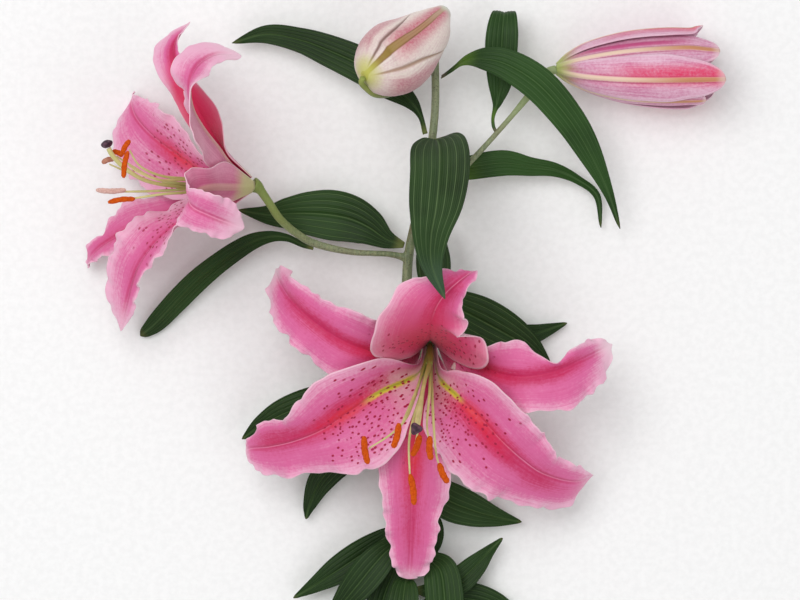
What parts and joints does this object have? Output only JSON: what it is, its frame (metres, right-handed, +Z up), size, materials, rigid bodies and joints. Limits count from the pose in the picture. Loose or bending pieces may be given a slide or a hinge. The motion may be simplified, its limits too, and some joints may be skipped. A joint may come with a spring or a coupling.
{
  "type": "cut lily stem",
  "caption": "Cut stem of a pink lily lying on its back, with open spotted blooms, closed and opening buds, stamens and long dark green leaves.",
  "frame": {"origin": "middle of the whole stem's outline as seen from above, on the surface that it lies on", "axes": "+Z up from the surface, +Y along the stem from its cut end to the topmost bud, +X to the right of that"},
  "size_m": [0.3227, 0.4374, 0.1072],
  "materials": {
    "stem": "satin",
    "leaf": "satin",
    "petal": "satin",
    "bud": "satin",
    "filament": "satin",
    "anther": "matte",
    "stigma": "gloss"
  },
  "bodies": {
    "root": {"main_stem": "stem", "front_petal_top": "petal", "front_petal_left": "petal", "front_petal_right": "petal", "front_sepal_bottom": "petal", "front_sepal_right": "petal", "front_sepal_left": "petal", "side_petal_upper": "petal", "side_petal_far": "petal", "side_petal_lower": "petal", "side_sepal_back": "petal", "side_sepal_lower": "petal", "side_sepal_front": "petal", "top_bud": "bud", "right_bud": "bud", "leaf_01_long_upper_left": "leaf", "leaf_02_heart_in_front": "leaf", "leaf_03_long_right": "leaf", "leaf_04_upright": "leaf", "leaf_05_right": "leaf", "leaf_06_middle_left": "leaf", "leaf_07_long_left": "leaf", "leaf_08_behind_heart": "leaf", "leaf_09_behind_right": "leaf", "leaf_10_low_right": "leaf", "leaf_11_behind_left": "leaf", "leaf_12_low_left": "leaf", "leaf_13_low_right": "leaf", "leaf_14_narrow": "leaf", "leaf_15_lower_left": "leaf", "leaf_16_lower_left_front": "leaf", "leaf_17_lower_left_down": "leaf", "leaf_18_arched_front": "leaf", "leaf_19_arched_right": "leaf", "leaf_20_lower_right_up": "leaf", "leaf_21_lower_right": "leaf", "leaf_22_foot_left": "leaf", "leaf_23_foot_right": "leaf", "leaf_24_foot_left_low": "leaf", "leaf_25_foot_right_low": "leaf", "front_anther_1": "anther", "front_anther_2": "anther", "front_anther_3": "anther", "front_anther_4": "anther", "front_anther_5": "anther", "front_anther_6": "anther", "front_ovary_and_filaments": "filament", "front_stigma": "stigma", "side_anther_1": "anther", "side_anther_2": "anther", "side_anther_3": "anther", "side_anther_4": "anther", "side_anther_5": "anther", "side_anther_6": "anther", "side_ovary_and_filaments": "filament", "side_stigma": "stigma"}
  },
  "joints": []
}
